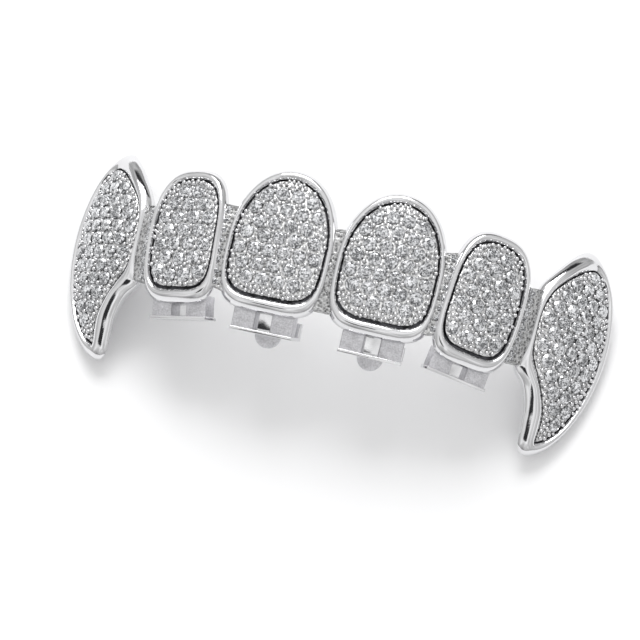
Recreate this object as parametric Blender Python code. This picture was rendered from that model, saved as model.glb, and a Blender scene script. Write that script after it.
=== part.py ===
"""A six-cap fanged tooth jewel: one cast metal piece and a field of stones set in the face of each cap.

Each cap is drawn in its own plane, with u away from the middle of the mouth, v towards the gum and w
out of the face. The caps then stand side by side along the dental arch, faces up, and the finished
jewel is turned to lie on the rear edges of its two fangs, as it would on a table.
"""

import math

import bmesh
import bpy
import numpy as np
from mathutils import Matrix, Vector
from mathutils.geometry import convex_hull_2d, delaunay_2d_cdt

# Cap faces, in metres: rise is above the cap's own middle line and drop is below it
CENTRAL_WIDTH = 0.0092
CENTRAL_RISE = 0.0066
CENTRAL_DROP = 0.0058
LATERAL_WIDTH = 0.0072
LATERAL_RISE = 0.0062
LATERAL_DROP = 0.0055
FANG_WIDTH = 0.0089
FANG_RISE = 0.0090
FANG_DROP = 0.0096

# How each cap stands along the arch: its turn about the long axis of the tooth, and how far its
# middle line lies below that of the central caps
CENTRAL_TURN = math.radians(4)
LATERAL_TURN = math.radians(23.5)
FANG_TURN = math.radians(42.5)
LATERAL_SINK = 0.0008
FANG_SINK = 0.0019

# Gaps between neighbouring caps, which the strips fill
CENTRE_GAP = 0.0003
LATERAL_GAP = 0.00045
FANG_GAP = 0.0018

# How far a lateral cap is turned in its own plane, its top away from the middle of the mouth
LATERAL_SPIN = math.radians(-5)

# Roundness of the faces across and up the tooth
CENTRAL_ROUND = 0.0120
LATERAL_ROUND = 0.0150
FANG_ROUND = 0.0110
LONG_ROUND = 0.0280

# Rims round the stones
GUM_RIM = 0.0009
SIDE_RIM = 0.0006
BITE_RIM = 0.0012
FANG_RIM = 0.0010
RIM_PROUD = 0.0001

# Shell and pocket depths, measured in from the face
POCKET_DEPTH = 0.0006
WEB = 0.0004
CAP_DEPTH = 0.0013
FANG_TIP_DEPTH = 0.0009
BACK_DRAFT = 0.0003
WALL = 0.0007

# Stone fields
STONE_DIAMETER = 0.00108
STONE_HEIGHT = 0.00030
TABLE_SHARE = 0.56
STONE_PITCH = 0.00136
STONE_CLEARANCE = 0.00006
FIELD_SINK = 0.00022
FIELD_CLEARANCE = 0.00018
STONE_SIDES = 8

# Strips between the caps
STRIP_RECESS = 0.00035
STRIP_DEPTH = 0.0011
STRIP_BITE = 0.0005

# Brackets behind the biting edges of the four front caps
BRACKET_WIDTH = 0.0052
LUG_WIDTH = 0.0019
LUG_SETBACK = 0.0010
LUG_RECESS = 0.0007
LUG_DEPTH = 0.0015
CENTRAL_BRACKET_DROP = 0.0014
LATERAL_BRACKET_DROP = 0.0009
SHELF_THICKNESS = 0.0003
SEAT_DEPTH = 0.0036
SHELF_LIP = 0.0002
BRACKET_LEAN = math.radians(12)
UPSTAND_THICKNESS = 0.0007
UPSTAND_HEIGHT = 0.0015
TONGUE_RADIUS = 0.0011

# Fineness of the drawn shapes
RIM_POINTS = 40
FLOOR_STEP = 0.0017
MELD = 1e-7

# Fang outline from the top, away from the middle of the mouth and back: across in half widths, up in
# rises or drops, then the step inwards to the stones in rim widths, across and up
FANG_OUTLINE = (
    (0.16, 0.98, 0.10, -1.50),
    (0.40, 0.91, -0.30, -1.10),
    (0.62, 0.78, -0.75, -0.40),
    (0.80, 0.60, -0.85, -0.05),
    (0.88, 0.38, -0.85, 0.00),
    (0.89, 0.11, -0.90, 0.00),
    (0.76, -0.21, -0.80, 0.05),
    (0.57, -0.48, -0.70, 0.20),
    (0.31, -0.73, -0.55, 0.50),
    (0.03, -0.91, -0.45, 0.80),
    (-0.30, -1.00, 0.15, 1.15),
    (-0.53, -0.94, 1.00, 0.85),
    (-0.63, -0.77, 1.35, 0.20),
    (-0.70, -0.62, 1.38, 0.05),
    (-0.86, -0.45, 1.25, 0.10),
    (-1.07, -0.34, 1.45, 0.25),
    (-1.13, -0.27, 1.10, 0.60),
    (-1.08, -0.09, 0.55, 0.30),
    (-1.04, 0.24, 0.50, 0.00),
    (-0.93, 0.50, 0.93, -0.15),
    (-0.50, 0.77, 0.85, -0.75),
    (-0.13, 0.93, 0.55, -1.35),
)

# The fang's hollow: its middle in half widths and rises, and its reach in the same
FANG_HOLLOW = (-0.09, 0.29, 0.72, 0.43)

# Section of a cap's rim from the stones outwards: share of the rim's width left, and lift in RIM_PROUD
RIM_SECTION = (
    (1.00, -1.0),
    (0.78, 1.0),
    (0.48, 0.8),
    (0.22, -0.8),
    (0.06, -3.0),
    (0.00, -5.5),
)


def clear_scene():
    for old in list(bpy.data.objects):
        bpy.data.objects.remove(old)


def make_material(name, colour, metallic, roughness):
    material = bpy.data.materials.new(name)
    material.use_nodes = True
    shader = material.node_tree.nodes["Principled BSDF"]
    shader.inputs["Base Color"].default_value = (*colour, 1.0)
    shader.inputs["Metallic"].default_value = metallic
    shader.inputs["Roughness"].default_value = roughness
    material.diffuse_color = (*colour, 1.0)
    return material


def oval(width, rise, drop, top_power, foot_power):
    """A closed outline from the top, clockwise: a rounded box with its own roundness above and below."""
    points = []
    for i in range(RIM_POINTS):
        angle = 2 * math.pi * i / RIM_POINTS
        power = 2 / (top_power if math.cos(angle) > 0 else foot_power)
        across = math.copysign(abs(math.sin(angle)) ** power, math.sin(angle))
        up = math.copysign(abs(math.cos(angle)) ** power, math.cos(angle))
        points.append((across * width / 2, up * (rise if up > 0 else drop)))
    return np.array(points)


def closed_curve(knots):
    """RIM_POINTS points of a smooth closed curve through the knots."""
    points = []
    for i in range(RIM_POINTS):
        place = i * len(knots) / RIM_POINTS
        start = int(place)
        t = place - start
        a, b, c, d = (knots[(start + step) % len(knots)] for step in (-1, 0, 1, 2))
        bend = 2 * a - 5 * b + 4 * c - d
        twist = 3 * b - a - 3 * c + d
        points.append(b + 0.5 * t * ((c - a) + t * (bend + t * twist)))
    return np.array(points)


class ToothCap:
    """A front cap: its face outline, its rims, its roundness and its place on the arch."""

    has_bracket = True

    def __init__(self, name, width, rise, drop, turn, sink, round_across, powers, spin=0.0):
        self.name = name
        self.width = width
        self.rise = rise
        self.drop = drop
        self.turn = turn
        self.sink = sink
        self.round_across = round_across
        self.powers = powers
        self.spin = spin

    def trimmed_oval(self, side, top, foot):
        """The cap's oval, less a margin at each side, at the top and at the foot."""
        return oval(self.width - 2 * side, self.rise - top, self.drop - foot, *self.powers)

    def outline(self, rim=0.0, inset=0.0):
        """The face outline, taken inwards by a share of the rim and by a plain distance."""
        return self.trimmed_oval(rim * SIDE_RIM + inset, rim * GUM_RIM + inset, rim * BITE_RIM + inset)

    def hollow(self):
        return self.trimmed_oval(WALL, WALL, WALL)

    def depth(self, v):
        return CAP_DEPTH + 0 * v

    def face(self, u, v):
        """Height of the rounded face at u, v."""
        return -(u**2) / (2 * self.round_across) - v**2 / (2 * LONG_ROUND)


class FangCap(ToothCap):
    """A fang cap: hollow behind the tooth, and solid down its curved tip."""

    has_bracket = False

    def outline(self, rim=0.0, inset=0.0):
        knots = []
        for across, up, step_across, step_up in FANG_OUTLINE:
            height = up * (self.rise if up > 0 else self.drop)
            step = Vector((step_across, step_up))
            step *= rim * FANG_RIM + inset / step.length
            knots.append((across * self.width / 2 + step.x, height + step.y))
        return closed_curve(np.array(knots))

    def hollow(self):
        across, up, half_width, half_height = FANG_HOLLOW
        middle = (across * self.width / 2, up * self.rise)
        tall = half_height * self.rise
        return oval(half_width * self.width, tall, tall, *self.powers) + middle

    def depth(self, v):
        reach = np.clip(-v / self.drop, 0, 1)
        return CAP_DEPTH + (FANG_TIP_DEPTH - CAP_DEPTH) * reach * reach


def tooth_caps():
    central = ToothCap(
        "central", CENTRAL_WIDTH, CENTRAL_RISE, CENTRAL_DROP, CENTRAL_TURN, 0.0, CENTRAL_ROUND, (2.1, 4.0)
    )
    lateral = ToothCap(
        "lateral",
        LATERAL_WIDTH,
        LATERAL_RISE,
        LATERAL_DROP,
        LATERAL_TURN,
        LATERAL_SINK,
        LATERAL_ROUND,
        (2.8, 3.8),
        LATERAL_SPIN,
    )
    fang = FangCap("fang", FANG_WIDTH, FANG_RISE, FANG_DROP, FANG_TURN, FANG_SINK, FANG_ROUND, (2.3, 2.3))
    place_on_arch([central, lateral, fang], [CENTRE_GAP / 2, LATERAL_GAP, FANG_GAP])
    return [central, lateral, fang]


def place_on_arch(caps, gaps):
    """Walks along the arch from the middle of the mouth, and gives each cap its matrix on the right side."""
    x = z = 0.0
    turn = 0.0
    for cap, gap in zip(caps, gaps):
        between = (turn + cap.turn) / 2
        x += gap * math.cos(between) + cap.width / 2 * math.cos(cap.turn)
        z -= gap * math.sin(between) + cap.width / 2 * math.sin(cap.turn)
        stand = Matrix.Translation((x, -cap.sink, z)) @ Matrix.Rotation(cap.turn, 4, "Y")
        cap.matrix = stand @ Matrix.Rotation(cap.spin, 4, "Z")
        x += cap.width / 2 * math.cos(cap.turn)
        z -= cap.width / 2 * math.sin(cap.turn)
        turn = cap.turn


def ring_edges(start, count):
    return [(start + i, start + (i + 1) % count) for i in range(count)]


def triangulate(points, edges):
    """Triangles that fill the outermost of the given edges, and keep all of them."""
    flat = [Vector(point) for point in points]
    found, _, faces, origin, _, _ = delaunay_2d_cdt(flat, edges, [], 1, MELD)
    names = [origin[i][0] if origin[i] else None for i in range(len(found))]
    if None in names or len(found) != len(flat):
        raise ValueError("the outline crosses itself")
    return [[names[corner] for corner in face] for face in faces]


def inside_distance(points, outline):
    """For each point, its distance in from the outline, and the unit direction inwards."""
    along = np.roll(outline, -1, axis=0) - outline
    offset = points[:, None] - outline
    share = np.clip((offset * along).sum(2) / (along**2).sum(1), 0, 1)
    away = offset - share[..., None] * along
    gap = np.linalg.norm(away, axis=2)
    rows = np.arange(len(points))
    pick = gap.argmin(axis=1)
    level = along[:, 1] == 0
    slope = along[:, 0] / np.where(level, 1, along[:, 1])
    beside = (offset[..., 1] < 0) != (offset[..., 1] < along[:, 1])
    crossed = beside & (offset[..., 0] < offset[..., 1] * slope)
    sign = np.where(crossed.sum(axis=1) % 2 == 1, 1.0, -1.0)
    distance = gap[rows, pick] * sign
    direction = away[rows, pick] * sign[:, None] / np.maximum(gap[rows, pick], MELD)[:, None]
    return distance, direction


def grid_inside(outline, across, up, margin, stagger=0.0):
    """Grid points at least margin inside the outline, each second row shifted by stagger."""
    low, high = outline.min(axis=0), outline.max(axis=0)
    middle = (low + high) / 2
    rows = int((high[1] - low[1]) / up / 2) + 1
    columns = int((high[0] - low[0]) / across / 2) + 2
    points = [
        (middle[0] + (column + stagger * (row % 2)) * across, middle[1] + row * up)
        for row in range(-rows, rows + 1)
        for column in range(-columns, columns + 1)
    ]
    points = np.array(points)
    return points[inside_distance(points, outline)[0] > margin]


def spread_stones(outline):
    """Stone centres: a staggered grid, eased until the stones lie evenly and clear of the outline."""
    margin = STONE_DIAMETER / 2 + STONE_CLEARANCE
    stones = grid_inside(outline, STONE_PITCH, STONE_PITCH * math.sqrt(0.75), margin * 0.55, 0.5)
    for _ in range(80):
        apart = stones[:, None] - stones
        gap = np.linalg.norm(apart, axis=2) + np.eye(len(stones))
        push = np.clip(STONE_PITCH - gap, 0, None) * (1 - np.eye(len(stones)))
        stones = stones + (apart / gap[..., None] * push[..., None]).sum(axis=1) * 0.35
        distance, inwards = inside_distance(stones, outline)
        stones += inwards * np.clip(margin - distance, 0, None)[:, None]
    kept = []
    room = inside_distance(stones, outline)[0]
    for stone in stones[room > STONE_DIAMETER / 2 + STONE_CLEARANCE / 2]:
        if all(np.linalg.norm(stone - other) > STONE_DIAMETER + STONE_CLEARANCE for other in kept):
            kept.append(stone)
    return np.array(kept)


def on_face(cap, points, lift):
    """Points of the cap's plane as 3D points on its rounded face, raised by lift."""
    return np.column_stack([points, cap.face(points[:, 0], points[:, 1]) + lift])


def fill_ring(mesh, verts, cap, lift):
    """Closes a ring with a floor that follows the rounded face."""
    ring = np.array([vert.co[:2] for vert in verts])
    inner = grid_inside(ring, FLOOR_STEP, FLOOR_STEP, FLOOR_STEP * 0.4)
    floor = [mesh.verts.new(place) for place in on_face(cap, inner, lift)]
    corners = list(verts) + floor
    for face in triangulate(np.vstack([ring, inner]), ring_edges(0, len(ring))):
        mesh.faces.new([corners[i] for i in face])


def join_rings(mesh, first, second):
    for i in range(len(first)):
        after = (i + 1) % len(first)
        mesh.faces.new((first[i], first[after], second[after], second[i]))


def cap_shell(cap):
    """The metal of one cap: pocket floor, pocket wall, rounded rim, outer wall, back edge and hollow."""
    mesh = bmesh.new()
    loops = [[mesh.verts.new(place) for place in on_face(cap, cap.outline(1.0), -POCKET_DEPTH)]]
    for rim, lift in RIM_SECTION:
        ring = on_face(cap, cap.outline(rim), lift * RIM_PROUD)
        loops.append([mesh.verts.new(place) for place in ring])
    outer = cap.outline(0.0, BACK_DRAFT)
    hollow = cap.hollow()
    back = on_face(cap, outer, -cap.depth(outer[:, 1]))
    mouth = on_face(cap, hollow, -cap.depth(hollow[:, 1]))
    loops.append([mesh.verts.new(place) for place in back])
    for first, second in zip(loops, loops[1:]):
        join_rings(mesh, first, second)
    mouth_loop = [mesh.verts.new(place) for place in mouth]
    floor_loop = [mesh.verts.new(place) for place in on_face(cap, hollow, -POCKET_DEPTH - WEB)]
    join_rings(mesh, mouth_loop, floor_loop)
    count = len(outer)
    edge = loops[-1] + mouth_loop
    for face in triangulate(np.vstack([outer, hollow]), ring_edges(0, count) + ring_edges(count, count)):
        if min(face) < count:
            mesh.faces.new([edge[i] for i in face])
    fill_ring(mesh, loops[0], cap, -POCKET_DEPTH)
    fill_ring(mesh, floor_loop, cap, -POCKET_DEPTH - WEB)
    return mesh


def stone_rings(cap, centre):
    """Girdle and table corners of one stone, square to the rounded face under it."""
    u, v = centre
    outwards = Vector((u / cap.round_across, v / LONG_ROUND, 1)).normalized()
    across = Vector((1, 0, -u / cap.round_across)).normalized()
    up = outwards.cross(across)
    middle = Vector((u, v, cap.face(u, v) - FIELD_SINK))
    corners = []
    for reach, height in ((1.0, 0.0), (TABLE_SHARE, STONE_HEIGHT)):
        radius = STONE_DIAMETER / 2 * reach
        for i in range(STONE_SIDES):
            angle = 2 * math.pi * (i + 0.5) / STONE_SIDES
            place = across * math.cos(angle) + up * math.sin(angle)
            corners.append(middle + place * radius + outwards * height)
    return np.array(corners)


def stone_field(cap):
    """A thin plate that fills the pocket, with the stones raised from its face as one body."""
    mesh = bmesh.new()
    outline = cap.outline(1.0, FIELD_CLEARANCE)
    corners = [on_face(cap, outline, -FIELD_SINK)]
    edges = ring_edges(0, len(outline))
    for centre in spread_stones(outline):
        start = sum(len(group) for group in corners)
        corners.append(stone_rings(cap, centre))
        edges += ring_edges(start, STONE_SIDES) + ring_edges(start + STONE_SIDES, STONE_SIDES)
    top = np.vstack(corners)
    verts = [mesh.verts.new(place) for place in top]
    for face in triangulate(top[:, :2], edges):
        mesh.faces.new([verts[i] for i in face])
    depth = -POCKET_DEPTH + FIELD_CLEARANCE
    base = [mesh.verts.new(place) for place in on_face(cap, outline, depth)]
    join_rings(mesh, verts[: len(outline)], base)
    fill_ring(mesh, base, cap, depth)
    return mesh


def side_point(cap, height, distal, inset, lift):
    """A point near the side edge of a cap, at a height of the whole jewel, in the jewel's frame."""
    outline = cap.outline()
    v = height + cap.sink
    half = len(outline) // 2
    side = outline[: half + 1] if distal else np.roll(outline, -half, axis=0)[: half + 1]
    order = side[:, 1].argsort()
    edge = np.interp(v, side[order, 1], side[order, 0])
    u = edge - inset if distal else edge + inset
    return cap.matrix @ Vector((u, v, cap.face(u, v) + lift))


def strip(left, right, top, foot):
    """The metal strip between two caps: left and right give a side point at a height and a lift."""
    mesh = bmesh.new()
    sections = []
    for height in np.linspace(top, foot, 7):
        front = [left(height, -STRIP_RECESS), right(height, -STRIP_RECESS)]
        back = [right(height, -STRIP_DEPTH), left(height, -STRIP_DEPTH)]
        crest = (front[0] + front[1]) / 2
        crest.z += STRIP_RECESS / 2
        sections.append([mesh.verts.new(place) for place in (front[0], crest, front[1], *back)])
    for first, second in zip(sections, sections[1:]):
        join_rings(mesh, first, second)
    mesh.faces.new(sections[0])
    mesh.faces.new(sections[-1])
    return mesh


def strips(central, lateral, fang):
    """The strip at the middle, and those of the right side, each with whether it has a mirror twin."""

    def mirrored(height, lift):
        place = side_point(central, height, False, STRIP_BITE, lift)
        return Vector((-place.x, place.y, place.z))

    def side(cap, distal):
        return lambda height, lift: side_point(cap, height, distal, STRIP_BITE, lift)

    low = -CENTRAL_DROP * 0.80
    yield strip(mirrored, side(central, False), CENTRAL_RISE * 0.38, low), False
    yield strip(side(central, True), side(lateral, False), LATERAL_RISE * 0.42, low), True
    yield strip(side(lateral, True), side(fang, False), LATERAL_RISE * 0.34, low), True


def extrude_outline(outline, shift):
    """A closed body: a flat outline and its copy moved by shift."""
    mesh = bmesh.new()
    face = mesh.faces.new([mesh.verts.new(point) for point in outline])
    result = bmesh.ops.extrude_face_region(mesh, geom=[face], use_keep_orig=True)
    moved = [item for item in result["geom"] if isinstance(item, bmesh.types.BMVert)]
    bmesh.ops.translate(mesh, verts=moved, vec=shift)
    return mesh


def bracket(cap):
    """Two lugs with a recess between them and a shelf under them, and behind a central cap the bar's seat."""
    has_seat = cap.name == "central"
    half = BRACKET_WIDTH / 2
    gap = half - LUG_WIDTH
    edge = -cap.drop
    front = -LUG_SETBACK - cap.drop**2 / (2 * LONG_ROUND)
    dip = front - LUG_RECESS
    back = front - LUG_DEPTH
    root = edge + WALL * 1.2
    foot = edge - (CENTRAL_BRACKET_DROP if has_seat else LATERAL_BRACKET_DROP)
    base = foot - SHELF_THICKNESS
    plan = ((-half, front), (-gap, front), (-gap, dip), (gap, dip), (gap, front), (half, front))
    plan += ((half, back), (-half, back))
    meld = SHELF_THICKNESS * 0.1
    lugs = extrude_outline([(u, foot - meld, w) for u, w in plan], (0, root - foot + meld, 0))
    lip = front + SHELF_LIP
    rear = front - (SEAT_DEPTH if has_seat else LUG_DEPTH + SHELF_LIP)
    side = [(base, rear), (base, lip), (foot, lip)]
    if has_seat:
        face = rear + UPSTAND_THICKNESS
        crown = base + UPSTAND_HEIGHT
        side += [(foot, face), (crown, face), (crown, rear)]
    else:
        side.append((foot, rear))
    wing = half + SHELF_LIP / 2
    pieces = [lugs, extrude_outline([(-wing, v, w) for v, w in side], (2 * wing, 0, 0))]
    if has_seat:
        turns = [math.pi * i / 8 for i in range(9)]
        heel = [(TONGUE_RADIUS * math.cos(a), base + meld - TONGUE_RADIUS * math.sin(a), rear + meld) for a in turns]
        pieces.append(extrude_outline(heel, (0, 0, UPSTAND_THICKNESS - 2 * meld)))
    pivot = Matrix.Translation((0, edge, front))
    lean = pivot @ Matrix.Rotation(BRACKET_LEAN, 4, "X") @ pivot.inverted()
    for piece in pieces:
        piece.transform(lean)
    return pieces


def to_mesh(mesh, name, matrix, mirror=False):
    """Finishes a working mesh in the jewel's frame, mirrored to the left side if asked."""
    mesh.transform(Matrix.Scale(-1, 4, (1, 0, 0)) @ matrix if mirror else matrix)
    bmesh.ops.recalc_face_normals(mesh, faces=mesh.faces)
    data = bpy.data.meshes.new(name)
    mesh.to_mesh(data)
    return data


def both_sides(build, name, matrix):
    """The same piece for the right and the left side."""
    return [to_mesh(build(), name, matrix), to_mesh(build(), name, matrix, mirror=True)]


def casting_pieces(caps):
    """Meshes of all that is cast in one: caps, strips and brackets."""
    pieces = []
    for cap in caps:
        pieces += both_sides(lambda cap=cap: cap_shell(cap), cap.name, cap.matrix)
        if cap.has_bracket:
            for part in bracket(cap):
                pieces += both_sides(part.copy, "bracket", cap.matrix)
    for bar, twin in strips(*caps):
        if twin:
            pieces.append(to_mesh(bar.copy(), "strip", Matrix.Identity(4), mirror=True))
        pieces.append(to_mesh(bar, "strip", Matrix.Identity(4)))
    return pieces


def union(name, pieces, material):
    """One object made of the first piece and all the others, joined by a Boolean."""
    body = bpy.data.objects.new(name, pieces[0])
    bpy.context.collection.objects.link(body)
    tools = bpy.data.collections.new("casting pieces")
    bpy.context.scene.collection.children.link(tools)
    helpers = [bpy.data.objects.new("piece", piece) for piece in pieces[1:]]
    for helper in helpers:
        tools.objects.link(helper)
    join = body.modifiers.new("join", "BOOLEAN")
    join.operation = "UNION"
    join.solver = "EXACT"
    join.operand_type = "COLLECTION"
    join.collection = tools
    bpy.context.view_layer.update()
    graph = bpy.context.evaluated_depsgraph_get()
    joined = bpy.data.meshes.new_from_object(body.evaluated_get(graph))
    body.modifiers.clear()
    body.data = joined
    for helper in helpers:
        bpy.data.objects.remove(helper)
    bpy.data.collections.remove(tools)
    joined.materials.clear()
    joined.materials.append(material)
    joined.name = name
    return body


def volume_and_centre(data):
    """Volume and centre of mass of a closed mesh."""
    data.calc_loop_triangles()
    volume = 0.0
    moment = Vector()
    for triangle in data.loop_triangles:
        a, b, c = (data.vertices[i].co for i in triangle.vertices)
        part = a.dot(b.cross(c)) / 6
        volume += part
        moment += part * (a + b + c) / 4
    return volume, moment / volume


def resting_turn(bodies):
    """The turn about X at which the jewel, lying faces up, rests by itself."""
    total = 0.0
    moment = Vector()
    for body in bodies:
        volume, centre = volume_and_centre(body.data)
        total += volume
        moment += volume * centre
    centre = Vector((moment.y, moment.z)) / total
    places = {(round(vert.co.y, 7), round(vert.co.z, 7)) for body in bodies for vert in body.data.vertices}
    places = [Vector(place) for place in sorted(places)]
    hull = [places[i] for i in convex_hull_2d(places)]
    turns = []
    for i, start in enumerate(hull):
        end = hull[(i + 1) % len(hull)]
        along = end - start
        share = (centre - start).dot(along) / along.length_squared
        if 0 < share < 1:
            turns.append(-math.atan2(along.y, along.x))
    return min(turns, key=abs)


def lay_down(bodies):
    """Parents the bodies to one empty, and turns and moves it so that the jewel rests about the origin."""
    frame = bpy.data.objects.new("jewel", None)
    bpy.context.collection.objects.link(frame)
    turn = Matrix.Rotation(resting_turn(bodies), 4, "X")
    places = np.array([turn @ vert.co for body in bodies for vert in body.data.vertices])
    low, high = places.min(axis=0), places.max(axis=0)
    frame.matrix_world = Matrix.Translation((-(low + high)[0] / 2, -(low + high)[1] / 2, -low[2])) @ turn
    for body in bodies:
        body.parent = frame


def main():
    clear_scene()
    metal = make_material("polished_silver", (0.83, 0.83, 0.84), 1.0, 0.12)
    stone = make_material("clear_stone", (0.93, 0.94, 0.96), 0.0, 0.04)
    caps = tooth_caps()
    casting = union("cap_casting", casting_pieces(caps), metal)
    bodies = [casting]
    for cap in caps:
        for side, data in zip(("right", "left"), both_sides(lambda cap=cap: stone_field(cap), "field", cap.matrix)):
            data.materials.append(stone)
            data.name = f"stones_{cap.name}_{side}"
            field = bpy.data.objects.new(data.name, data)
            bpy.context.collection.objects.link(field)
            bodies.append(field)
    casting.data.shade_smooth()
    casting.data.set_sharp_from_angle(angle=math.radians(40))
    lay_down(bodies)


main()
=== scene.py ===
"""Looks of a fanged tooth jewel: polished caps, stones held by beads, set strips and brackets.

Each cap is drawn in its own plane, with u away from the middle of the mouth, v towards the gum and w out of
the face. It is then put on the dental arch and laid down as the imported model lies. Stones stand where the
packed stone fields have theirs. All lengths are in metres.
"""

import math
import random

import bmesh
import bpy
import numpy as np
from mathutils import Matrix, Vector


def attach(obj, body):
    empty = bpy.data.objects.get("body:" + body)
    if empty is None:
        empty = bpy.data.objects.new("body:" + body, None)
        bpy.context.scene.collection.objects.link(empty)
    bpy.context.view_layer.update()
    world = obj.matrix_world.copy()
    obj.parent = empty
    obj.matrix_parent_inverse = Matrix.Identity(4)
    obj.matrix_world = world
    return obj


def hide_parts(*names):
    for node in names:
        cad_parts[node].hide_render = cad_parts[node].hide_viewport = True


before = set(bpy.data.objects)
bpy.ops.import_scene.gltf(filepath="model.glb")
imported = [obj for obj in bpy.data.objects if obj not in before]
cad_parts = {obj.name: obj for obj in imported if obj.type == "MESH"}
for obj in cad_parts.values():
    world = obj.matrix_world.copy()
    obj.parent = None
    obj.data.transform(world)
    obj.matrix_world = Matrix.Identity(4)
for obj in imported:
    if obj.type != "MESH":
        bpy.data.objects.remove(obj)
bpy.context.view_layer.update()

bl_info = {
    "name": "Fanged tooth jewel",
    "version": (1, 0, 0),
    "blender": (4, 5, 0),
    "location": "View3D > Sidebar > Jewel",
    "description": "Polished caps, set stones, strips, brackets and stage of a fanged tooth jewel",
    "category": "Object",
}

BODY = "root"
CASTING = "cap_casting"
METAL_SLOT = "polished_silver"
STONE_SLOT = "clear_stone"

# Takes the right half to the left
FLIP = Matrix.Scale(-1, 4, (1, 0, 0))

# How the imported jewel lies: its turn about X, and how far it is moved back and up
REST_TURN = math.radians(10.243)
REST_BACK = 0.000641
REST_LIFT = 0.011528

# Turns of the caps about the long axis of the tooth, and how far they sit below the central ones
CENTRAL_TURN = math.radians(4)
LATERAL_TURN = math.radians(23.5)
FANG_TURN = math.radians(42.5)
LATERAL_SINK = 0.0008
FANG_SINK = 0.0019

# Gaps between neighbouring caps
CENTRE_GAP = 0.0003
LATERAL_GAP = 0.00045
FANG_GAP = 0.0018

# How far a lateral cap is turned in its own plane, its top away from the middle of the mouth
LATERAL_SPIN = math.radians(-5)

# Roundness of the faces across and up the tooth
CENTRAL_ROUND = 0.0120
LATERAL_ROUND = 0.0150
FANG_ROUND = 0.0110
LONG_ROUND = 0.0280

# Powers of the ovals: above and below the middle line
CENTRAL_POWERS = (2.1, 4.0)
LATERAL_POWERS = (2.8, 3.8)
HOLLOW_POWERS = (2.3, 2.3)

# Fang outline from the top, away from the middle of the mouth and back: across in half widths, up in
# rises or drops, then the step inwards to the stones in rim widths, across and up
FANG_OUTLINE = (
    (0.16, 0.98, 0.10, -1.50),
    (0.40, 0.91, -0.30, -1.10),
    (0.62, 0.78, -0.75, -0.40),
    (0.80, 0.60, -0.85, -0.05),
    (0.88, 0.38, -0.85, 0.00),
    (0.89, 0.11, -0.90, 0.00),
    (0.76, -0.21, -0.80, 0.05),
    (0.57, -0.48, -0.70, 0.20),
    (0.31, -0.73, -0.55, 0.50),
    (0.03, -0.91, -0.45, 0.80),
    (-0.30, -1.00, 0.15, 1.15),
    (-0.53, -0.94, 1.00, 0.85),
    (-0.63, -0.77, 1.35, 0.20),
    (-0.70, -0.62, 1.38, 0.05),
    (-0.86, -0.45, 1.25, 0.10),
    (-1.07, -0.34, 1.45, 0.25),
    (-1.13, -0.27, 1.10, 0.60),
    (-1.08, -0.09, 0.55, 0.30),
    (-1.04, 0.24, 0.50, 0.00),
    (-0.93, 0.50, 0.93, -0.15),
    (-0.50, 0.77, 0.85, -0.75),
    (-0.13, 0.93, 0.55, -1.35),
)

# The fang's hollow: its middle in half widths and rises, and its reach in widths and rises
FANG_HOLLOW = (-0.09, 0.29, 0.72, 0.43)

# Section of a polished rim from the foot of the groove outwards: share of the rim's width left, and lift
RIM_SECTION = (
    (1.00, -0.00060),
    (1.00, -0.00034),
    (1.00, -0.00018),
    (0.94, -0.00011),
    (0.88, -0.00004),
    (0.82, 0.00002),
    (0.75, 0.00007),
    (0.66, 0.00010),
    (0.55, 0.00011),
    (0.43, 0.00009),
    (0.32, 0.00002),
    (0.22, -0.00007),
    (0.13, -0.00018),
    (0.06, -0.00031),
    (0.02, -0.00044),
    (0.00, -0.00058),
)

# Number of section steps beside the stones that take the groove's painted shade
SHADED_GROOVE_STEPS = 3

# Rings of the outer wall and back edge: share of the back draft, and share of the way down from the rim
WALL_SECTION = ((0.35, 0.35), (0.70, 0.70), (0.92, 0.90), (1.10, 0.98), (1.45, 1.00))
INNER_SHARES = (0.90, 0.75, 0.58, 0.40, 0.22, 0.08)

# Rounded corner of a hollow: how far each ring is drawn in, and its height below the hollow's floor
HOLLOW_CORNER = ((0.0, 0.00016), (0.00004, 0.00007), (0.00011, 0.00002), (0.00020, 0.0))

RIM_POINTS = 144
HOLLOW_POINTS = 96

# Stone shape in girdle radii: facet slopes in degrees, and how far each plane lies from the middle
CROWN_SLOPE = 36
STAR_SLOPE = 22
GIRDLE_SLOPE = 43
PAVILION_SLOPE = 41
TABLE_SHARE = 0.56
GIRDLE_HALF = 0.03
STONE_TILT = math.radians(5)

# How far the outermost beads stand out over their plate's edge, how far a bead may lap over a stone, and how
# high its middle stands above the plate, in its own radii
BEAD_OVERHANG = 0.00011
BEAD_LAP = 0.00003
BEAD_STAND = 0.55

# How far a facet's glint strays from the usual one of its kind
GLINT_SPREAD = 0.15

# Glints that the facets of a stone draw from: table wedges, stars, kites, and the girdle and below
TABLE_GLINTS = (0.0, 0.30, 0.85)
STAR_GLINTS = (0.10, 0.55)
KITE_GLINTS = (0.20, 0.90, 1.0)
LOWER_GLINTS = (0.10, 0.75)

# Where the table of a packed stone is told apart from other flat faces: corners and share of its area
TABLE_CORNERS = 8
TABLE_TOLERANCE = 0.06

# Strips: rows and columns of the mesh, how far they run in behind the caps, and how far their stones' painted
# glints are lowered; their tops and their feet in shares of the caps' rises and of a central cap's drop
STRIP_ROWS = 22
STRIP_COLUMNS = 9
STRIP_BITE = 0.00045
STRIP_DIMMING = 0.3
STRIP_TOPS = (0.38, 0.42, 0.34)
STRIP_FOOT = 0.80

# Strip stones: their pitch in diameters, the step from row to row in pitches, the sideways shift of each
# second row, the range of sizes, the greatest tilt, and how deep they sit in radii
STRIP_PITCH = 1.02
ROW_STEP = 0.88
ROW_SHIFT = 0.25
STRIP_SIZES = (0.88, 1.0)
STRIP_TILT = 0.16
STRIP_SEAT = 0.05

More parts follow.
